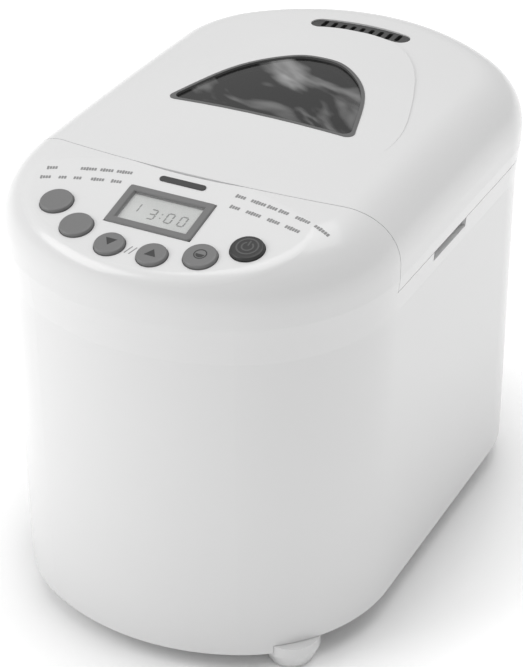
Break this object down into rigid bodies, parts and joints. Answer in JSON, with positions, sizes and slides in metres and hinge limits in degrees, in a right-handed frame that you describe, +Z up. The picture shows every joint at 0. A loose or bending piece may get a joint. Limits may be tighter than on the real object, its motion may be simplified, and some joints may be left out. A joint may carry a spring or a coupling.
{
  "type": "bread machine",
  "caption": "Domed countertop bread machine with a hinged windowed lid, tilted crescent control panel, lift-out pan and belt-driven kneading paddle.",
  "frame": {"origin": "on the table under the middle of the machine's bounding box, hinge barrel included", "axes": "+X to the machine's right seen from the front, -Y out of the front with the control panel, +Z up"},
  "size_m": [0.24, 0.3675, 0.2845],
  "materials": {
    "aluminium_sheet": "brushed sheet",
    "bezel_grey": "satin grey",
    "board_green": "solder-masked board",
    "bronze": "sintered",
    "button_dark": "satin dark grey",
    "button_grey": "satin grey",
    "casing_white": "white moulded gloss plastic",
    "ceramic": "unglazed",
    "clear_window": "clear",
    "component_dark": "moulded",
    "coupler_grey": "die cast",
    "dark_trim": "satin dark",
    "element_dark": "oxidised tube",
    "lcd": "light grey display",
    "motor_steel": "plated",
    "nonstick": "non-stick coating",
    "pulley_plastic": "moulded",
    "rim_grey": "satin grey",
    "rubber_black": "matt",
    "silicone_grey": "matt",
    "smoked_glass": "smoked, glossy",
    "steel": "zinc-plated",
    "transformer_core": "varnished laminations"
  },
  "bodies": {
    "casing": {"base_plate": "casing_white", "bearing_housing": "steel", "board_components": "component_dark", "chamber_standoffs": "steel", "chassis": "steel", "chassis_screws": "steel", "control_board": "board_green", "control_housing": "casing_white", "control_panel": "casing_white", "cord_gland": "rubber_black", "deck_frame": "casing_white", "drive_belt": "rubber_black", "element_clips": "steel", "foot_pads": "rubber_black", "heating_element": "element_dark", "hinge_bracket": "casing_white", "lcd_frame": "bezel_grey", "lcd_module": "lcd", "lcd_window": "clear_window", "motor": "motor_steel", "motor_mounts": "steel", "motor_screws": "steel", "outer_shell": "casing_white", "oven_chamber": "aluminium_sheet", "pan_socket": "steel", "panel_badge": "dark_trim", "power_board": "board_green", "shaft_bearings": "bronze", "tact_switches": "component_dark", "temperature_sensor": "steel", "terminal_insulators": "ceramic", "transformer": "transformer_core"},
    "lid": {"lid_shell": "casing_white", "window_rim": "rim_grey", "window_glass": "smoked_glass", "window_gasket": "silicone_grey", "vent_grille": "dark_trim", "lid_liner": "aluminium_sheet", "lid_seal": "silicone_grey", "liner_screws": "steel", "lid_knuckles": "casing_white", "hinge_pin": "steel"},
    "pan": {"bread_pan": "nonstick", "shaft_bush": "silicone_grey"},
    "handle": {"pan_handle": "steel"},
    "paddle": {"kneading_paddle": "nonstick", "pan_shaft": "steel", "pan_coupler": "coupler_grey"},
    "output_drive": {"output_shaft": "steel", "drive_coupler": "coupler_grey", "large_pulley": "pulley_plastic"},
    "motor_rotor": {"motor_shaft": "steel", "small_pulley": "pulley_plastic"},
    "menu_button": {"menu_button": "button_grey"},
    "crust_button": {"crust_button": "button_grey"},
    "timer_down_button": {"timer_down_button": "button_grey"},
    "timer_up_button": {"timer_up_button": "button_grey"},
    "size_button": {"size_button": "button_grey"},
    "start_button": {"start_button": "button_dark"}
  },
  "joints": [
    {"name": "lid_hinge", "type": "hinge", "parent": "casing", "child": "lid", "pos_m": [0, 0.17875, 0.2275], "axis": [-1, 0, 0], "range_deg": [0, 95]},
    {"name": "pan_lift", "type": "slide", "parent": "casing", "child": "pan", "axis": [0, 0, 1], "range_m": [0, 0.1415]},
    {"name": "handle_swing", "type": "hinge", "parent": "pan", "child": "handle", "pos_m": [0, 0.02675, 0.2191], "axis": [-1, 0, 0], "range_deg": [0, 91]},
    {"name": "paddle_spin", "type": "hinge", "parent": "pan", "child": "paddle", "pos_m": [0, 0.02675, 0.0905], "axis": [0, 0, 1], "continuous": true},
    {"name": "drive_spin", "type": "hinge", "parent": "casing", "child": "output_drive", "pos_m": [0, 0.02675, 0.0505], "axis": [0, 0, 1], "continuous": true},
    {"name": "motor_spin", "type": "hinge", "parent": "casing", "child": "motor_rotor", "pos_m": [0, -0.12825, 0.0505], "axis": [0, 0, 1], "continuous": true},
    {"name": "menu_button_press", "type": "slide", "parent": "casing", "child": "menu_button", "axis": [0, 0.2233, -0.9748], "range_m": [0, 0.0015], "stiffness_N_per_m": 900, "springref_m": -0.0004},
    {"name": "crust_button_press", "type": "slide", "parent": "casing", "child": "crust_button", "axis": [0, 0.2233, -0.9748], "range_m": [0, 0.0015], "stiffness_N_per_m": 900, "springref_m": -0.0004},
    {"name": "timer_down_button_press", "type": "slide", "parent": "casing", "child": "timer_down_button", "axis": [0, 0.2233, -0.9748], "range_m": [0, 0.0015], "stiffness_N_per_m": 900, "springref_m": -0.0004},
    {"name": "timer_up_button_press", "type": "slide", "parent": "casing", "child": "timer_up_button", "axis": [0, 0.2233, -0.9748], "range_m": [0, 0.0015], "stiffness_N_per_m": 900, "springref_m": -0.0004},
    {"name": "size_button_press", "type": "slide", "parent": "casing", "child": "size_button", "axis": [0, 0.2233, -0.9748], "range_m": [0, 0.0015], "stiffness_N_per_m": 900, "springref_m": -0.0004},
    {"name": "start_button_press", "type": "slide", "parent": "casing", "child": "start_button", "axis": [0, 0.2233, -0.9748], "range_m": [0, 0.0015], "stiffness_N_per_m": 900, "springref_m": -0.0004}
  ],
  "couplings": [
    {"joint": "pan_lift", "follows": "lid_hinge", "m_per_rad": 0.08504},
    {"joint": "handle_swing", "follows": "lid_hinge", "ratio": 0.94737},
    {"joint": "paddle_spin", "follows": "drive_spin", "ratio": 1},
    {"joint": "motor_spin", "follows": "drive_spin", "ratio": 5.5}
  ]
}
